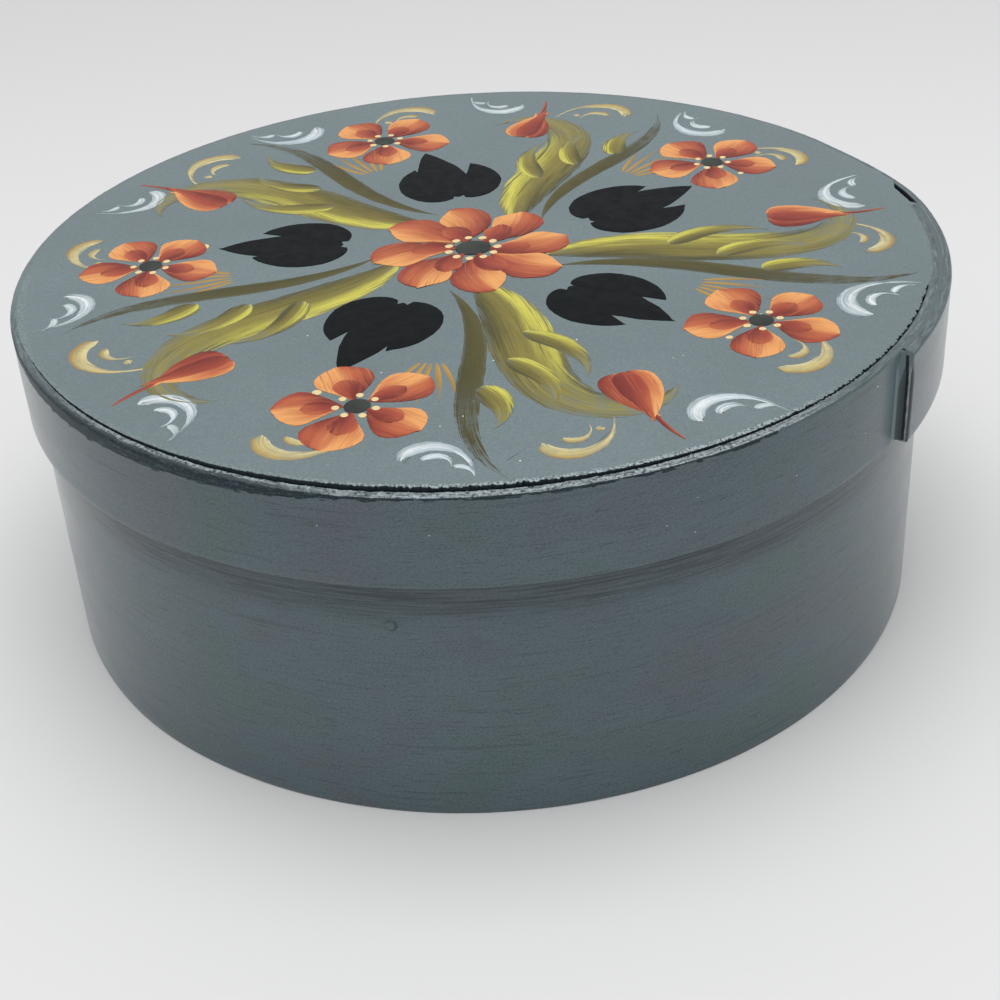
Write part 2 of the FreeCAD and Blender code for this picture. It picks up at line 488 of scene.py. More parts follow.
def board_wood():
    """Bare wood of a sawn board: long growth rings across the box."""
    make = Paint("bare_board_wood", IOR=1.45)
    warp = make.speckle(make.place, (2.2, 9, 3), 2.0, 0.5, 0.4)
    ring = make.calc("FRACT", make.weigh((make.part(make.place, 1), 170), (warp, 14.0)))
    late_wood = make.between(ring, (0.45, 0.92), (1.0, 0.94))
    fibres = make.speckle(make.place, (130, 2600, 130), 4.0, 0.65)
    colour = make.blend(make.times(late_wood, 0.7), BARE_WOOD, BARE_WOOD_DARK)
    colour = make.tint(colour, (fibres, 0.50, 0.78, 0.35, BARE_WOOD_DARK))
    make.relief(make.weigh((fibres, 1), (late_wood, 0.12)), 0.12 * MM, 0.6)
    return make.finish(colour, make.uneven(fibres, 0.55, 0.72))


def brush_paint(name, seed, stops, tip_stops, streak, ground=None, dryness=0.0, gloss=0.2):
    """A stroke of a brush loaded with more than one colour. stops are the
    colours across the stroke where it starts, and tip_stops where it ends.
    streak is how strongly the brush's hairs part them. With a ground, the
    stroke runs dry towards its end, and the ground shows through. dryness is
    how much of it shows along both edges."""
    make = Paint(name, IOR=1.5, Specular_IOR_Level=gloss)
    film = make.surface("along")
    share = make.surface("brush")
    end = make.part(share, 0)
    across = make.part(share, 1)
    wander = make.speckle(film, (26, 300, 1), 3.0, 0.6, offset=(seed, 0, 0))
    hairs = make.speckle(film, (38, 2100, 1), 4.0, 0.7, 0.1, (0, seed, 0))
    blur = make.speckle(make.place, 320)
    parted = make.times(make.minus(make.weigh((wander, 0.8), (hairs, 1.2)), 1.0), streak)
    lane = make.plus(across, parted)
    along = make.span(make.plus(end, make.times(parted, 1.1)), 0.22, 0.82)
    colour = make.tint(
        make.blend(along, make.ramp(lane, stops), make.ramp(lane, tip_stops)),
        (hairs, 0.53, 0.64, 0.5, shade(stops[0.0], 0.75)),
        (hairs, 0.45, 0.33, 0.4, shade(tip_stops[1.0], 1.1)))
    if ground:
        dry = make.plus(make.span(end, 0.45, 1.0, 0.0, 0.9), make.span(end, 0.12, 0.0, 0.0, 0.35))
        edge = make.calc("ABSOLUTE", make.minus(across, 0.5))
        dry = make.calc("ADD", dry, make.span(edge, 0.34, 0.5, dryness, dryness + 0.5), clamp=True)
        bare = make.span(make.weigh((hairs, 0.75), (blur, 0.25)), 0.44, 0.56)
        colour = make.blend(make.times(dry, bare), colour, ground)
    make.relief(make.weigh((hairs, 1), (blur, 0.3)), 0.07 * MM, 0.6)
    return make.finish(colour, make.uneven(blur, 0.36, 0.48))


# Meshes

def mesh_piece(name, points, faces, materials, slots=None, layers=None, sharp=35.0):
    """A smooth mesh object. slots gives the material of each face, and layers
    the surface coordinates of each corner of each face."""
    mesh = bpy.data.meshes.new(name)
    mesh.from_pydata(points, [], faces)
    for material in materials:
        mesh.materials.append(material)
    mesh.polygons.foreach_set("material_index", slots or [0] * len(faces))
    mesh.polygons.foreach_set("use_smooth", [True] * len(faces))
    for layer_name, corners in (layers or {}).items():
        layer = mesh.uv_layers.new(name=layer_name)
        layer.data.foreach_set("uv", [number for corner in corners for number in corner])
    mesh.set_sharp_from_angle(angle=math.radians(sharp))
    mesh.update()
    piece = bpy.data.objects.new(name, mesh)
    bpy.context.scene.collection.objects.link(piece)
    return piece


def skin(ring_count, count):
    """The faces between closed rings of points, each with the number of its
    first ring and of its two places along the ring."""
    for i in range(ring_count - 1):
        here, there = i * count, (i + 1) * count
        for k in range(count):
            after = (k + 1) % count
            yield i, k, after, (here + k, here + after, there + after, there + k)


# The materials of a bent strip's faces, in the order of its slots; the last is worn paint with painted
# shade below the lid's rim
PAINT, WOOD, RIM, DARK, END, WORN_AND_SHADE = range(6)


def bent_strip(name, angles, rows, inner, outer, low, rim, relief, materials, worn_and_shade_to=None):
    """A strip bent round the box. inner and outer give its faces' radii at an
    angle, rim gives the height of its upper edge and the width and drop of that
    edge's rounding, and relief moves its outer face in or out. worn_and_shade_to
    gives how far down the band of worn paint with painted shade below the rim reaches."""
    hem = 0.4 * MM
    inside_round = 0.12 * MM
    inside_rows = 5
    rim_steps, worn_rim_steps = 6, 4
    hem_steps = 3
    rings = []
    for angle in angles:
        face_in, face_out = inner(angle), outer(angle)
        sway = 0.13 * MM * rough(angle, 0, 45 * MM, 1)
        top, round_width, round_drop = rim(angle)
        round_width = min(round_width, 0.8 * (face_out - face_in))
        wood_height = top - 4 * MM - low - inside_round
        ring = []
        for i in range(inside_rows + 1):
            ring.append((face_in, low + inside_round + wood_height * i / inside_rows, WOOD))
        chip = 0.20 * MM * max(0, rough(angle, 0, 0.8 * MM, 14)) if worn_and_shade_to else 0
        flat = face_out - round_width - face_in - inside_round
        ring += [(face_in, top - inside_round, DARK),
                 (face_in + inside_round + chip, top - 0.7 * chip, RIM),
                 (face_in + inside_round + flat / 2, top + 0.05 * MM * rough(angle, top, 2 * MM, 9), RIM)]
        for i in range(rim_steps + 1):
            turn = math.pi / 2 * i / rim_steps
            inward, down = round_width * (1 - math.sin(turn)), round_drop * (1 - math.cos(turn))
            ring.append((face_out - inward, top - down, RIM if i < worn_rim_steps else PAINT))
        upper = top - round_drop
        for share in rows:
            height = upper + (low + hem - upper) * share
            ring.append((face_out + relief(angle, height), height, PAINT))
        for i in range(1, hem_steps + 1):
            turn = math.pi / 2 * i / hem_steps
            ring.append((face_out - hem * (1 - math.cos(turn)), low + hem * (1 - math.sin(turn)), PAINT))
        ring.append((face_in + inside_round, low, PAINT))
        rings.append([(radius + sway, height, kind) for radius, height, kind in ring])

    points = []
    for angle, ring in zip(angles, rings):
        points += [polar(radius, angle, height) for radius, height, _ in ring]
    count = len(rings[0])
    reach = [0.0]
    for first, second in zip(rings[0], rings[0][1:] + rings[0][:1]):
        reach.append(reach[-1] + math.hypot(first[0] - second[0], first[1] - second[1]))
    middle = (inner(angles[0]) + outer(angles[0])) / 2
    lengths = [math.radians(angle - angles[0]) * middle for angle in angles]
    faces, slots, corners = [], [], []
    for i, k, after, face in skin(len(rings), count):
        kinds = {rings[0][k][2], rings[0][after][2]}
        slot = max(kinds) if len(kinds) == 1 or DARK in kinds else PAINT
        height = rings[i][after][1]
        # Faces above that height get the worn paint with painted shade.
        if slot == PAINT and worn_and_shade_to and height > worn_and_shade_to(angles[i], height):
            slot = WORN_AND_SHADE
        faces.append(face)
        slots.append(slot)
        corners += [(lengths[i], reach[k]), (lengths[i], reach[k + 1]),
                    (lengths[i + 1], reach[k + 1]), (lengths[i + 1], reach[k])]
    last = len(points) - count
    for ring, start, order in ((rings[0], 0, range(count - 1, -1, -1)), (rings[-1], last, range(count))):
        faces.append([start + k for k in order])
        slots.append(END)
        corners += [ring[k][:2] for k in order]
    return mesh_piece(name, points, faces, materials, slots, {"along": corners})


def lap_stand_off(angle):
    """How far the lid's outer layer stands out from the round."""
    return (strip + lap_glue_gap) * (1 - ease((angle - lap_inner_end) / (lap_foot - lap_inner_end)))


def lid_face(angle):
    """The lid strip's outer face, from its outer end to its inner end."""
    return lid_radius + (lap_stand_off(angle) if angle < lap_foot else 0)


def round_turn(angle):
    """The same direction, from -180 to 180."""
    return (angle + 180) % 360 - 180


def crack_open(angle):
    """How open the crack round the lid board is. Paint closes it at the back."""
    turn = round_turn(angle)
    front = ease((turn + 165) / 14) * ease((-15.5 - turn) / 5)
    wedge = ease((turn - 5.2) / 1.0) * ease((13.5 - turn) / 3.0)
    return max(front, wedge)


def crack_share(angle):
    """How wide the open crack is, next to its full width. It is full at the
    front and by the strip's inner end, and thin on both sides of the front."""
    turn = round_turn(angle)
    if turn > 0:
        return 1.0
    return (1 - 0.85 * ease((turn + 85) / 11) + 0.5 * ease((turn + 62) / 12)
            - 0.72 * ease((-112 - turn) / 24))


def lid_rim(angle):
    """The lid strip's upper edge. It lies lowest at the front, where the board
    stands proud, and level with the board where paint covers the joint."""
    turn = round_turn(angle)
    closed = 1 - ease((turn + 165) / 62) * ease((-12 - turn) / 88)
    top = lid_rim_height - 0.1 * MM + (lid_top - lid_rim_height + 0.06 * MM) * closed
    ragged = 1 - 0.85 * closed
    top += ragged * grain(angle, (0.16, 5, 3), (0.12, 1.5, 4)) * MM
    worn = bump_at(abs(turn + 132), 50)
    soft = ease((turn + 60) / 16) * ease((40 - turn) / 30)
    width = (0.65 + 0.35 * worn + 0.5 * soft + grain(angle, (0.2, 6, 5), (0.25, 1.4, 7))) * MM
    drop = (0.55 + 0.70 * worn + 0.5 * soft + grain(angle, (0.15, 8, 6), (0.15, 1.4, 8))) * MM
    past_end = angle - 360 - lap_outer_end
    if past_end > 1:
        return top, 0.15 * MM, 0.15 * MM
    crisp = 1 - 0.75 * ease((past_end + 3) / 2.8)
    return top, width * crisp, drop * crisp


def lid_worn_and_shade_to(angle, height):
    """How far down the band of worn paint with painted shade below the lid's rim
    reaches. It is deepest at the left front, and there is none beyond the lap's end."""
    turn = round_turn(angle)
    if not -172 < turn < -58:
        return lid_top
    depth = 0.7 + 0.4 * ease((-70 - turn) / 20) + 2.2 * ease((turn + 168) / 28) * ease((-98 - turn) / 24)
    depth += 0.4 * rough(angle, 3 * height, 9 * MM, 15) + 0.8 * rough(angle, 6 * height, 3.5 * MM, 16)
    return lid_rim_height - depth * MM


def below_rim(height):
    """The share of the lid's side that lies above a height."""
    return (lid_rim_height - height) / (lid_rim_height - lid_low)


def fillet_height(below):
    """How high the thick paint in the lap's corner climbs up the outer layer's end."""
    return (1.45 + 0.4 * ease(below / 0.35)) * MM


def lid_relief(angle, height):
    """The shape of the lid's side: hollows, a small pit, the pared lip at the
    outer end, and beside it a ridge and a hollow of thick paint."""
    push = 0.07 * MM * rough(angle, 4 * height, 22 * MM, 12)
    from_pit = math.hypot(math.radians(angle - 216) * lid_radius, height - 77 * MM)
    push -= 0.25 * MM * bump_at(from_pit, 0.5 * MM)
    below = below_rim(height)
    from_end = math.radians(angle - lap_outer_end) * lid_radius
    if from_end < 4 * MM:
        push -= 0.42 * MM * max(0, 1 - from_end / (0.5 * MM)) * ease((below - 0.05) / 0.2)
        push -= (0.22 * MM * bump_at(abs(from_end - 0.9 * MM), 0.25 * MM)
                 * ease((below - 0.12) / 0.2) * ease((1 - below) / 0.1))
    before_end = math.radians(360 + lap_outer_end - angle) * lid_radius
    if 0 < before_end < 8 * MM:
        width = (0.9 + 0.3 * ease(below / 0.4)) * MM
        push += fillet_height(below) * max(0, 1 - before_end / width) ** 2
        push += 0.12 * MM * bump_at(abs(before_end - 1.7 * MM), 0.7 * MM) * ease((below - 0.05) / 0.3)
    return push


def make_lid_band(materials):
    """The lid's strip, with the most stations round its outer end."""
    end = lap_outer_end + 360
    angles = spread(lap_outer_end, lap_outer_end + 2, 0.07) + spread(lap_outer_end + 2, 190, 0.4)[1:]
    angles += spread(190, end - 3, 0.2)[1:] + spread(end - 3, end - 0.01, 0.08)[1:]
    angles += [end + 0.02] + spread(end + 0.5, lap_inner_end + 360, 0.5)
    rows = spread(0, 0.22, 0.013) + spread(0.22, 1, 0.045)[1:]
    return bent_strip("lid_band_painted", angles, rows, lambda angle: lid_face(angle) - strip, lid_face,
                      lid_low, lid_rim, lid_relief, materials, lid_worn_and_shade_to)


def make_body_band(materials):
    """The body's strip. Its outer end is a feather at the back."""
    turn = 360 - scarf_end_play
    inside = body_radius - strip
    slope = (strip - 2 * scarf_feather - scarf_glue_gap) / (scarf_end - scarf_start)

    def inner(angle):
        scarf = body_radius - scarf_feather - slope * (angle - scarf_start)
        return max(inside, scarf) if angle < scarf_end else inside

    def outer(angle):
        below = angle - turn - scarf_start
        return body_radius if below < 0 else body_radius - scarf_feather - scarf_glue_gap - slope * below

    def relief(angle, height):
        push = 0.09 * MM * rough(angle, 3 * height, 26 * MM, 22)
        from_head = math.hypot(math.radians(angle - PEG_HEAD_ANGLE) * body_radius, height - PEG_HEAD_HEIGHT)
        from_nub = math.hypot(math.radians(angle - NUB_ANGLE) * body_radius, height - NUB_HEIGHT)
        push += (0.50 * MM * bump_at(from_head - 0.9 * MM, 0.7 * MM)
                 - 0.15 * MM * bump_at(from_head, 0.9 * MM))
        return push + 0.4 * MM * bump_at(from_nub, 0.8 * MM)

    head_start, head_end = PEG_HEAD_ANGLE - 1.2, PEG_HEAD_ANGLE + 1.2
    angles = spread(scarf_start, head_start, 0.6) + spread(head_start, head_end, 0.09)[1:]
    angles += spread(head_end, scarf_end + turn, 0.6)[1:]
    rows = spread(0, 0.32, 0.02) + spread(0.32, 0.40, 0.0026)[1:] + spread(0.40, 1, 0.025)[1:]
    return bent_strip("body_band_painted", angles, rows, inner, outer, body_low,
                      lambda angle: (body_height, 0.4 * MM, 0.4 * MM), relief, materials)


def turned_board(name, angles, edge, low, high, upper_corner, materials):
    """A round board. edge gives its radius at an angle on the upper face, and
    upper_corner the size of the rounding there. The materials are those of
    the upper face, the side and the underside."""
    upper, side, under = range(3)
    corner = 0.5 * MM
    corner_steps = 3
    narrowest = min(edge(angle) for angle in angles)

    def flat_ring(share, height):
        return [polar(narrowest * share, angle, height) for angle in angles]

    def side_ring(most, inset, height):
        return [polar(min(edge(angle), most) - inset, angle, height) for angle in angles]

    clear = board_radius - 0.1 * MM
    rings = [flat_ring(share, low) for share in (0.05, 0.5, 0.9)] + [side_ring(clear, corner, low)]
    side_ring_number = len(rings)
    rings += [side_ring(clear, 0, low + corner), side_ring(clear, 0, high - 3 * corner)]
    rings.append(side_ring(board_radius, 0, high - 2 * corner))
    upper_ring_number = len(rings) + 1
    for i in range(corner_steps + 1):
        turn = math.pi / 2 * i / corner_steps
        rings.append([polar(edge(angle) - upper_corner(angle) * (1 - math.cos(turn)), angle,
                            high - upper_corner(angle) * (1 - math.sin(turn))) for angle in angles])
    rings += [flat_ring(share, high) for share in (0.97, 0.85, 0.5, 0.05)]
    points = [point for ring in rings for point in ring]
    count = len(angles)
    faces, slots = [list(range(count - 1, -1, -1))], [under]
    for i, *_, face in skin(len(rings), count):
        faces.append(face)
        slots.append(under if i < side_ring_number else (side if i < upper_ring_number else upper))
    faces.append([len(points) - count + k for k in range(count)])
    slots.append(upper)
    return mesh_piece(name, points, faces, materials, slots, sharp=50)


def lid_board_edge(angle):
    """The radius of the lid board's upper face. It leaves an open crack at the
    front and a wedge by the strip's inner end. Elsewhere its paint runs on
    over the upper edge of the strip."""
    turn = round_turn(angle)
    face_in = lid_radius - strip
    if lap_inner_end - 1 < turn < lap_foot:
        face_in += lap_stand_off(turn) * ease((turn - lap_inner_end + 1) / 1.2)
    share = crack_share(angle)
    torn = grain(angle, (1.1, 0.7, 31), (0.6, 2.6, 35), (0.2, 9, 32))
    torn *= (0.45 + 0.4 * share) * (0.3 + 0.7 * ease((turn + 110) / 14))
    opening = (0.55 * share - 0.05 + torn) * MM
    if turn > 0:
        opening = (1.35 + grain(angle, (0.25, 2, 33))) * MM
    overlap = (0.7 + grain(angle, (0.15, 3, 34))) * MM
    return face_in + overlap - (overlap + max(0.04 * MM, opening)) * crack_open(angle)


def lid_board_corner(angle):
    """The rounding of the lid board's upper edge, larger along the open crack."""
    return (0.06 + 0.30 * crack_open(angle) * crack_share(angle)) * MM


# The painting on the lid: a swirling rose in the middle, and five of each of
# the other motifs round it. Every mark is one stroke of a loaded brush, a thin
# closed film of paint that follows the path of the brush.

PAINT_FILM = 0.035 * MM
PAINT_SINK = 0.03 * MM
LAYER_RISE = 0.02 * MM

# Where a stroke is widest, earlier with a smaller lean, and how full it is
STROKE_FORMS = {"comma": (0.5, 1.1), "drop": (1.5, 0.7), "crescent": (1.0, 0.85), "leaf": (0.75, 0.8)}

strokes = {}


def brush_path(start, heading, length, bends, count):
    """Stations along a stroke, closer together at its ends. The path bends by
    the given degrees per length, blended from one to the next."""
    x, y = start
    stations = []
    done = 0.0
    substeps = 4
    for i in range(count + 1):
        share = 0.5 - 0.5 * math.cos(math.pi * i / count)
        piece = (share - done) / substeps
        for k in range(substeps):
            place = (done + piece * (k + 0.5)) * (len(bends) - 1)
            low = min(int(place), len(bends) - 2)
            heading += (bends[low] + (bends[low + 1] - bends[low]) * (place - low)) * piece
            x += length * piece * math.cos(math.radians(heading))
            y += length * piece * math.sin(math.radians(heading))
        done = share
        stations.append((share, x, y, heading))
    return stations


def width_along(shape, share):
    """The share of a stroke's full width at a share of its length."""
    if shape == "dot":
        return math.sqrt(max(0, 1 - (2 * share - 1) ** 2))
    if shape == "line":
        return math.sin(math.pi * share) ** 0.35 * (1 - 0.5 * share)
    if shape == "flat":
        swell = 0.6 + 0.6 * math.sin(math.pi * min(1, 1.5 * share))
        return min(1, share / 0.05) ** 0.6 * (1 - share) ** 0.75 * swell
    lean, fullness = STROKE_FORMS[shape]
    return max(0, math.sin(math.pi * share ** lean)) ** fullness


class Spot:
    """A place on the lid that a motif's strokes are laid out from, in millimetres."""

    def __init__(self, radius, angle, turn, size=1.0):
        self.centre = polar(radius, angle)
        self.turn = turn
        self.size = size

    def put(self, paint, place, heading, length, width, bends, shape, layer):
        """One stroke, a little different each time."""
        turn = math.radians(self.turn)
        dx, dy = place[0], place[1]
        x = self.centre.x + self.size * (dx * math.cos(turn) - dy * math.sin(turn))
        y = self.centre.y + self.size * (dx * math.sin(turn) + dy * math.cos(turn))
        heading = self.turn + heading + random.uniform(-3, 3)
        length *= self.size * random.uniform(0.95, 1.05)
        width *= self.size * random.uniform(0.94, 1.06)
        strokes.setdefault(paint, []).append(((x, y), heading, length, width, bends, shape, layer))


def stroke_film(stroke, points, faces, corners, shares):
    """Adds one stroke to a mesh's points, faces and surface coordinates."""
    start, heading, length, width, bends, shape, layer = stroke
    lanes = 9 if width > 6 else (7 if width > 2.5 else 5)
    count = max(12, min(44, round(length / 1.6)))
    at_start, at_tip = {"dot": (0, 0), "flat": (0.06, 0.03)}.get(shape, (0.018, 0.045))
    from_ends = [(random.uniform(0, at_start), random.uniform(0, at_tip)) for _ in range(lanes)]
    first = len(points)
    grain_start = random.uniform(0, 1)
    base = lid_top + layer * LAYER_RISE
    here = []
    for i, (share, x, y, turn) in enumerate(brush_path(start, heading, length, bends, count)):
        half = 0.5 * width * width_along(shape, min(1, max(0, share)))
        half *= 1 + 0.07 * noise.noise(Vector((x / 4, y / 4, 7)))
        along, aside = math.cos(math.radians(turn)), math.sin(math.radians(turn))
        for lane, (from_start, from_tip) in enumerate(from_ends):
            across = 2 * lane / (lanes - 1) - 1
            shift = length * (from_start * (1 - share) ** 8 - from_tip * share ** 8)
            px = x - aside * half * across + along * shift
            py = y + along * half * across + aside * shift
            fat = min(1.0, half / 1.2) * (0.35 + 0.65 * math.sqrt(max(0, 1 - across ** 4)))
            ridge = 0.35 * bump_at(abs(abs(across) - 0.8), 0.3)
            lift = 0.0 if lane in (0, lanes - 1) or i in (0, count) else PAINT_FILM * fat * (1 + ridge)
            points.append(Vector((px * MM, py * MM, base + lift)))
            here.append((grain_start + share * length * MM, (half * across) * MM, share, (across + 1) / 2))
    top_count = (count + 1) * lanes
    for i in range(count + 1):
        for lane in (0, lanes - 1):
            x, y = points[first + i * lanes + lane].xy
            points.append(Vector((x, y, lid_top - PAINT_SINK)))
            here.append(here[i * lanes + lane])

    def add(*indices):
        faces.append([first + k for k in indices])
        corners.extend(here[k][:2] for k in indices)
        shares.extend(here[k][2:] for k in indices)

    for i in range(count):
        row, after = i * lanes, (i + 1) * lanes
        under, under_after = top_count + 2 * i, top_count + 2 * (i + 1)
        for lane in range(lanes - 1):
            add(row + lane, after + lane, after + lane + 1, row + lane + 1)
        add(under, under_after, after, row)
        add(row + lanes - 1, after + lanes - 1, under_after + 1, under + 1)
        add(under + 1, under_after + 1, under_after, under)
    end, under_end = count * lanes, top_count + 2 * count
    add(top_count, *range(lanes), top_count + 1)
    add(under_end + 1, *range(end + lanes - 1, end - 1, -1), under_end)


def lay_strokes(paint, material):
    """One piece with all strokes of one paint."""
    points, faces, corners, shares = [], [], [], []
    for stroke in strokes[paint]:
        stroke_film(stroke, points, faces, corners, shares)
    layers = {"along": corners, "brush": shares}
    return mesh_piece("painted_" + paint, points, faces, [material], layers=layers, sharp=60)


def paint_leaf(spot):
    """A long leaf that curls over at its tip, with short strokes at its side."""
    spot.put("leaves", (0, 0), 42, 106, 17, (-150, -60, 60, 330, 560), "leaf", 2)
    spot.put("leaf_shades", (4, -6), 30, 94, 6.5, (-110, -60, 60, 190), "crescent", 1)
    for x, y, heading, length in ((30, 13, 62, 31), (44, 9, 50, 28), (57, 3, 40, 23)):
        spot.put("leaves", (x, y), heading, length, 7.5, (-20, -130), "comma", 3)


def paint_dark_leaf(spot):
    """Three near-black drops that open like a hand, with a row of dots before them."""
    spot.put("dark_leaves", (-13, 0), 0, 39, 15, (5, -5), "leaf", 2)
    spot.put("dark_leaves", (-14, 2), 48, 30, 13, (-60, -80, -50), "leaf", 3)
    spot.put("dark_leaves", (-14, -2), -48, 30, 13, (60, 80, 50), "leaf", 3)
    for i in range(4):
        size = 3.4 - 0.55 * i
        spot.put("dots", (27.5 + 4.2 * i, 0), 0, size, size, (0, 0), "dot", 3)


def paint_whorl(spot, paint, count, first, reach, lean, length, width, bends, layer, rise=0.0):
    """Equal petals round a flower's middle, each laid over the last by a rise."""
    for i in range(count):
        angle = 360 / count * i + first
        spot.put(paint, polar(reach, angle), angle - lean, length, width, bends, "drop", layer + rise * i)


def paint_eye(spot, size, count, reach, dot, layer):
    """The dark eye of a flower, with a ring of dots."""
    spot.put("eyes", (-size / 2, 0), 0, size, size, (0, 0), "dot", layer)
    for i in range(count):
        base = polar(reach, 360 / count * i)
        spot.put("dots", (base.x - dot / 2, base.y), 0, dot, dot, (0, 0), "dot", layer + 1)


def paint_blossom(spot):
    """Five petals round a dark eye."""
    paint_whorl(spot, "petals", 5, 18, 2.5, 14, 17, 14, (30, 10, -10), 4, 0.2)
    paint_whorl(spot, "petal_hearts", 5, 18, 2.5, 10, 10.5, 6.5, (20, 0), 6)
    paint_eye(spot, 6.2, 7, 4.6, 1.8, 7)


def paint_rose(spot):
    """The swirl of petals in the middle of the lid."""
    paint_whorl(spot, "petals", 8, 10, 6, 30, 23, 15, (70, 60, 50), 9, 0.1)
    paint_whorl(spot, "petal_hearts", 6, 0, 3.5, 35, 14, 8.5, (80, 70), 10, 0.1)
    paint_eye(spot, 9.6, 11, 6.8, 2.2, 11)


def paint_bud(spot):
    """A closed bud with a long tail."""
    spot.put("petals", (0, 2.2), 6, 25, 10.5, (-25, -45), "comma", 4)
    spot.put("petals", (0, -2.2), -6, 25, 10.5, (25, 45), "comma", 4.3)
    spot.put("petal_hearts", (0, 0), 0, 26, 8.5, (0, 0), "comma", 5)
    spot.put("petal_hearts", (20, 0), 0, 16, 1.5, (20, 20), "line", 4)


def paint_sprig(spot):
    """A fan of thin lines."""
    for k in (-2, -1, 0, 1, 2):
        spot.put("stems", (0, 1.3 * k), 14 * k, 21 - 2 * abs(k), 1.6, (-8 * k, -8 * k), "line", 1)


def paint_white_scroll(spot):
    """A hooked comma with two smaller ones inside its curl."""
    spot.put("white_scrolls", (-9, -3.5), 100, 36, 5.4, (-320, -190, -40), "flat", 2)
    spot.put("white_scrolls", (-3.5, -3), 78, 14, 3.3, (-250, -120), "flat", 2)
    spot.put("white_scrolls", (4.5, -6), 30, 9, 2.5, (-160, -60), "flat", 2)


def paint_cream_scroll(spot):
    """A hooked comma that curls the other way, with a smaller one and a dot."""
    spot.put("cream_scrolls", (-10, 4), -95, 38, 5.2, (300, 180, 50), "flat", 2)
    spot.put("cream_scrolls", (-4, 4.5), -70, 14, 3.0, (230, 110), "flat", 2)
    spot.put("cream_scrolls", (5.5, 6), 0, 2.6, 2.4, (0, 0), "dot", 2)


def paint_scratches(spot):
    """Thin hooked scratches near the front edge."""
    marks = ((-18, -112, 62, 15), (-4, -114, 52, 13), (5, -113, 48, 10), (26, -107, 55, 9))
    for x, y, heading, length in marks:
        spot.put("scratches", (x, y), heading, length, 0.32, (-12, 10), "line", 1)


def paint_lid():
    """Every stroke, motif by motif."""
    first = -78
    motif_count = 5
    scroll_count = 20
    middle = Spot(0, 0, 0)
    paint_rose(middle)
    for k in range(motif_count):
        turn = first + 360 / motif_count * k
        paint_leaf(Spot(21, turn - 14, turn - 14, random.uniform(0.97, 1.03)))
        paint_dark_leaf(Spot(49, turn + 31, turn + 36, random.uniform(0.92, 1.02)))
        paint_blossom(Spot(89, turn + 41, turn + 41 + random.uniform(-15, 15), random.uniform(1.0, 1.1)))
        paint_bud(Spot(83, turn + 12, turn + 4, random.uniform(0.9, 1.0)))
        paint_sprig(Spot(66, turn + 50, turn + 50))
    paint_scratches(middle)
    for k in range(scroll_count):
        angle = first + 360 / scroll_count * k + random.uniform(-1.5, 1.5)
        paint_scroll = paint_white_scroll if k % 2 else paint_cream_scroll
        paint_scroll(Spot(109 + random.uniform(-1, 1), angle, angle + 90, random.uniform(0.85, 0.98)))


# Small extras

def closed_bar(name, sections, material):
    """A closed bar through sections of the same number of corners."""
    count = len(sections[0])
    points = [corner for section in sections for corner in section]
    faces = [tuple(reversed(range(count))), tuple(len(points) - count + k for k in range(count))]
    faces += [face for *_, face in skin(len(sections), count)]
    return mesh_piece(name, points, faces, [material])


def lap_filler(material):
    """Paint and glue that close the top of the slot between the lap's layers."""
    sections = []
    for angle in spread(lap_outer_end + 0.3, lap_inner_end, 0.4):
        outside = lid_face(angle) - strip + 0.15 * MM
        inside = lid_radius - 0.15 * MM
        top = min(lid_rim(angle)[0], lid_rim(angle + 360)[0]) - 0.02 * MM
        corners = ((outside, top), (inside, top), (inside, top - 2.4 * MM), (outside, top - 2.4 * MM))
        sections.append([polar(radius, angle, height) for radius, height in corners])
    return closed_bar("lap_filler", sections, material)


def lap_end_split(material):
    """A thin dark bar in the end of the outer layer, above the paint in the corner: painted shade that
    stands for a split.
    """
    sections = []
    for height in spread(lid_low + 0.5 * MM, lid_rim_height - 0.5 * MM, 0.6 * MM):
        start = lid_radius + fillet_height(below_rim(height)) - 0.25 * MM
        stop = start + (0.70 + 0.15 * rough(0, height, 1.5 * MM, 41)) * MM
        corners = ((start, 0.05), (start, -0.04), (stop, -0.04), (stop, 0.05))
        sections.append([polar(radius, lap_outer_end + turn, height) for radius, turn in corners])
    return closed_bar("lap_end_split", sections, material)


def paint_crumbs(name, spots, material):
    """Small lumps of dried paint, each a squashed crystal with a point above
    and below."""
    sides = 6
    points, faces = [], []
    for centre, size in spots:
        first = len(points)
        reach = [size * random.uniform(0.6, 1.2) for _ in range(sides)]
        points += [centre + polar(reach[k], 360 / sides * k) for k in range(sides)]
        points += [centre + Vector((0, 0, 0.5 * size)), centre - Vector((0, 0, 0.5 * size))]
        for k in range(sides):
            after = (k + 1) % sides
            faces.append((first + k, first + after, first + sides))
            faces.append((first + after, first + k, first + sides + 1))
    return mesh_piece(name, points, faces, [material], sharp=80)


CRUMB_COUNT = 260
SPECKS_ON_TOP = 16
SPECKS_ON_SIDE = 8


def crumb_places():
    """Along both edges of the crack at the front, most of them to the right."""
    spots = []
    for _ in range(CRUMB_COUNT):
        angle = -42 - 85 * random.random() ** 1.4
        on_board = random.random() < 0.4
        size = random.uniform(0.10, 0.34) * MM
        if on_board:
            radius, height = lid_board_edge(angle) - 0.15 * MM, lid_top
        else:
            radius, height = lid_radius - strip + random.uniform(0, 0.5) * MM, lid_rim(angle)[0]
        spots.append((polar(radius, angle, height - 0.1 * size), size))
    return spots


def speck_places():
    """Pale specks on the lid and its side."""
    spots = []
    for _ in range(SPECKS_ON_TOP):
        angle, radius = random.uniform(-150, -15), random.uniform(60, 116) * MM
        spots.append((polar(radius, angle, lid_top + 0.02 * MM), random.uniform(0.15, 0.3) * MM))
    for _ in range(SPECKS_ON_SIDE):
        angle, height = random.uniform(-140, -30), random.uniform(lid_low + MM, lid_rim_height - 3 * MM)
        spots.append((polar(lid_radius, angle, height), random.uniform(0.15, 0.28) * MM))
    return spots
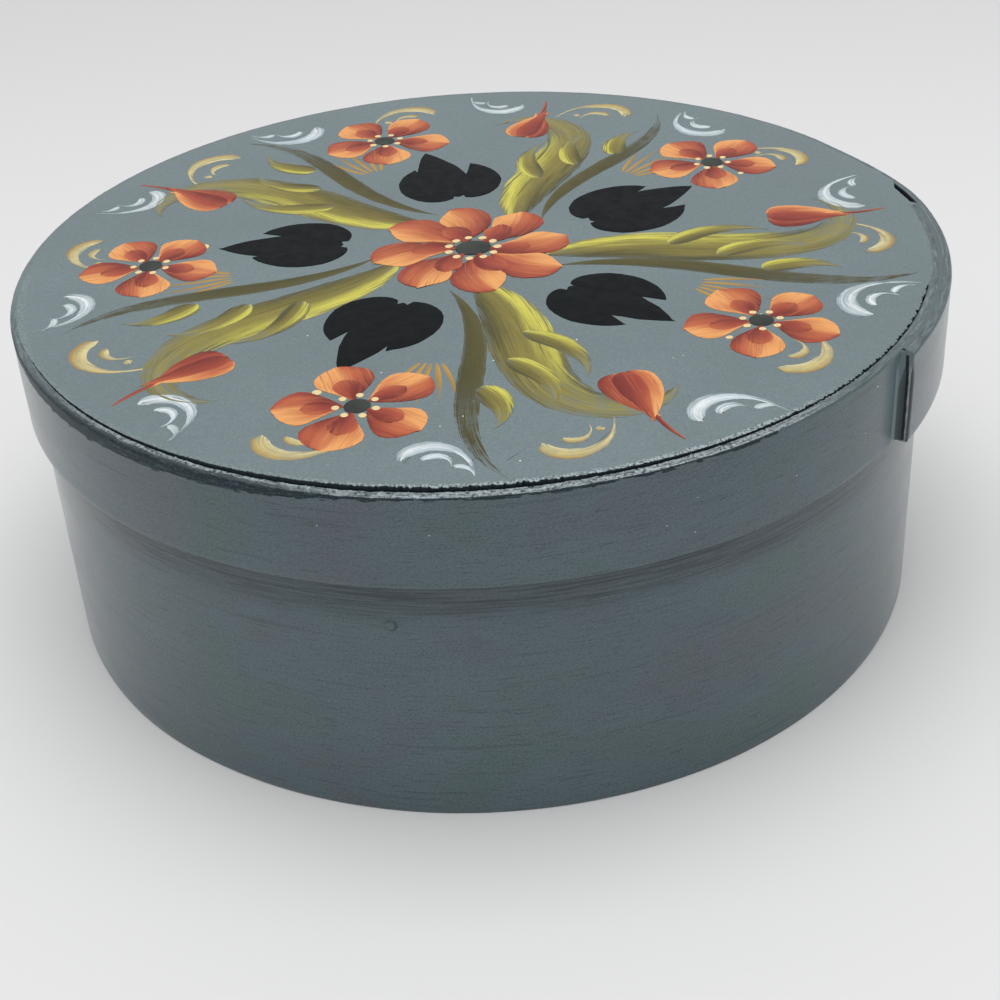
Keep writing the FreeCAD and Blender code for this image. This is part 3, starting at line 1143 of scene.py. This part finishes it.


# The pieces that stand for nodes of the part

# dark is painted shade of the crack; on the lid it covers the board's side and the top of the strip's inner
# face.
paint_of_body, rim, dark = body_paint(), rim_paint(), crack_paint()
wood_of_strips, wood_of_boards = strip_wood(), board_wood()
lid_materials = [lid_paint(), wood_of_strips, rim, dark, lip_paint(), worn_and_shade_paint()]
body_materials = [paint_of_body, wood_of_strips, rim, wood_of_strips, paint_of_body]

lid_board_angles = spread(0, 190, 0.4) + spread(190, 346, 0.13)[1:] + spread(346, 360, 0.4)[1:-1]
dressed = [
    ("lid_band", "lid", make_lid_band(lid_materials)),
    ("body_band", "box", make_body_band(body_materials)),
    ("lid_board", "lid", turned_board(
        "lid_board_painted", lid_board_angles, lid_board_edge, lid_board_low, lid_top,
        lid_board_corner, [top_paint(), dark, wood_of_boards])),
    ("bottom_board", "box", turned_board(
        "bottom_board_worn", spread(0, 360, 1.0)[:-1], lambda angle: bottom_radius + 0.1 * MM,
        bottom_low, bottom_thickness, lambda angle: 0.4 * MM, [wood_of_boards] * 3)),
]
for node, body, piece in dressed:
    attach(piece, body)
    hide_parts(node)

for name in ("lid_pegs", "bottom_pegs"):
    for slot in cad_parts[name].material_slots:
        slot.material = wood_of_boards

extras = [
    lap_filler(rim),
    # The split's dark bar is painted shade.
    lap_end_split(plain_paint("split_shade", CRACK_BLACK)),
    paint_crumbs("paint_crumbs", crumb_places(), plain_paint("crumb_paint", shade(SLATE_TOP, 1.3))),
    paint_crumbs("pale_specks", speck_places(), plain_paint("speck_paint", CHALK)),
]
for extra in extras:
    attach(extra, "lid")


# The painting's strokes, one piece for each paint

def one_paint(colour, end, tip, **settings):
    """The settings of a brush whose one colour only varies in tone."""
    return dict(stops={0.0: colour, 1.0: shade(colour, end)},
                tip_stops={0.0: shade(colour, tip), 1.0: colour}, **settings)


BRUSH_PAINTS = {
    "leaves": dict(
        stops={0.0: OLIVE_DARK, 0.5: OLIVE, 0.84: OLIVE_BRIGHT, 1.0: OLIVE},
        tip_stops={0.0: OLIVE, 0.4: shade(OLIVE, 1.45), 0.75: OLIVE, 1.0: OLIVE_DARK},
        streak=0.75, ground=SLATE_TOP),
    "leaf_shades": one_paint(OLIVE_DARK, 1.3, 0.8, streak=0.5, ground=SLATE_TOP),
    "dark_leaves": one_paint(LEAF_BLACK, 1.5, 1.3, streak=0.4, gloss=0.06),
    "petals": dict(
        stops={0.0: BRICK_DARK, 0.35: BRICK, 0.75: ORANGE, 1.0: ORANGE_PALE},
        tip_stops={0.0: BRICK, 0.35: ORANGE, 0.7: ORANGE_PALE, 1.0: ORANGE_PALE}, streak=0.7),
    "petal_hearts": dict(
        stops={0.0: BRICK_DARK, 1.0: BRICK},
        tip_stops={0.0: BRICK_DARK, 0.6: BRICK, 1.0: ORANGE}, streak=0.6, ground=shade(ORANGE, 0.9)),
    "stems": one_paint(OCHRE, 1.3, 0.8, streak=0.5, ground=SLATE_TOP),
    "scratches": dict(
        stops={0.0: shade(SLATE_TOP, 0.45), 1.0: shade(SLATE_TOP, 0.6)},
        tip_stops={0.0: shade(SLATE_TOP, 0.7), 1.0: shade(SLATE_TOP, 1.5)}, streak=0.3, ground=SLATE_TOP),
    "eyes": one_paint(PISTIL, 1.5, 0.7, streak=0.5),
    "dots": one_paint(BUTTER, 0.8, 0.75, streak=0.4),
    "white_scrolls": dict(
        stops={0.0: CHALK_THIN, 0.4: CHALK, 1.0: CHALK_THIN},
        tip_stops={0.0: CHALK, 0.6: CHALK_THIN, 1.0: CHALK_THIN},
        streak=0.7, ground=SLATE_TOP, dryness=0.4),
    "cream_scrolls": dict(
        stops={0.0: OCHRE, 0.45: CREAM, 1.0: CREAM_PALE},
        tip_stops={0.0: CREAM, 0.5: CREAM_PALE, 1.0: OCHRE},
        streak=0.7, ground=SLATE_TOP, dryness=0.4),
}

paint_lid()
for number, (paint, settings) in enumerate(BRUSH_PAINTS.items()):
    piece = lay_strokes(paint, brush_paint("paint_of_" + paint, 3.7 * number, **settings))
    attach(piece, "lid")


# The floor, the light and the camera

def make_floor():
    """A wide pale floor, with painted shade that makes it a little darker away from the camera."""
    half = 6.0
    corners = [(-half, -half, 0), (half, -half, 0), (half, half, 0), (-half, half, 0)]
    make = Paint("pale_floor", Roughness=0.6)
    colour = make.tint(
        FLOOR_TONE,
        (make.speckle(make.place, 0.8, 2.0), 0.3, 0.7, 0.15, shade(FLOOR_TONE, 0.94)),
        # Painted shade: darker away from the camera.
        (make.part(make.place, 1), 0.05, 0.7, 1.0, shade(FLOOR_TONE, 0.84)))
    return mesh_piece("floor", corners, [(0, 1, 2, 3)], [make.finish(colour)])


def make_world():
    """Soft light that grows towards the zenith. What is seen of the room, in
    mirror images too, is a plain backdrop."""
    world = bpy.data.worlds.new("soft_room")
    bpy.context.scene.world = world
    make = Recipe(world)
    light = make.nodes["Background"]
    height = make.part(make.step("TexCoord", output="Generated"), 2)
    make.feed(light.inputs["Color"], (1, 1, 1, 1))
    make.feed(light.inputs["Strength"], make.span(height, 0.15, 0.8, 0.14, 0.78))
    backdrop = make.step("MapRange", (height, 0.2, 0.6, 0.72, 1.1))
    seen = make.step("Background", (BACKGROUND_TONE, backdrop))
    rays = make.step("LightPath").node.outputs
    direct = [rays["Is " + kind + " Ray"] for kind in ("Camera", "Glossy", "Transmission")]
    shown = make.calc("MAXIMUM", *direct)
    room = make.step("MixShader", (shown, light.outputs[0], seen))
    make.feed(make.nodes["World Output"].inputs["Surface"], room)


def area_light(name, place, size, power):
    """A square lamp that points at the middle of the box's foot."""
    lamp = bpy.data.lights.new(name, "AREA")
    lamp.size = size
    lamp.energy = power
    holder = bpy.data.objects.new(name, lamp)
    holder.location = place
    holder.rotation_euler = (-Vector(place)).to_track_quat("-Z", "Y").to_euler()
    bpy.context.scene.collection.objects.link(holder)


def make_camera():
    """The camera of the photograph: above the lid, looking down at it."""
    place = (0.0032, -0.4384, 0.2945)
    pitch, roll = math.radians(32.752), math.radians(-3.572)
    forward = Vector((0, math.cos(pitch), -math.sin(pitch)))
    right = Vector((1, 0, 0))
    up = right.cross(forward)
    tilted_right = right * math.cos(roll) + up * math.sin(roll)
    tilted_up = up * math.cos(roll) - right * math.sin(roll)
    lens = bpy.data.cameras.new("camera")
    lens.lens = 62.345
    lens.sensor_width = 36.0
    lens.clip_start = 0.01
    camera = bpy.data.objects.new("camera", lens)
    turn = Matrix((tilted_right, tilted_up, -forward)).transposed()
    camera.matrix_world = Matrix.Translation(place) @ turn.to_4x4()
    bpy.context.scene.collection.objects.link(camera)
    bpy.context.scene.camera = camera


make_floor()
make_world()
area_light("soft_overhead", (0.0, -0.16, 2.6), 2.2, 42)
make_camera()
bpy.context.scene.view_settings.view_transform = "Standard"
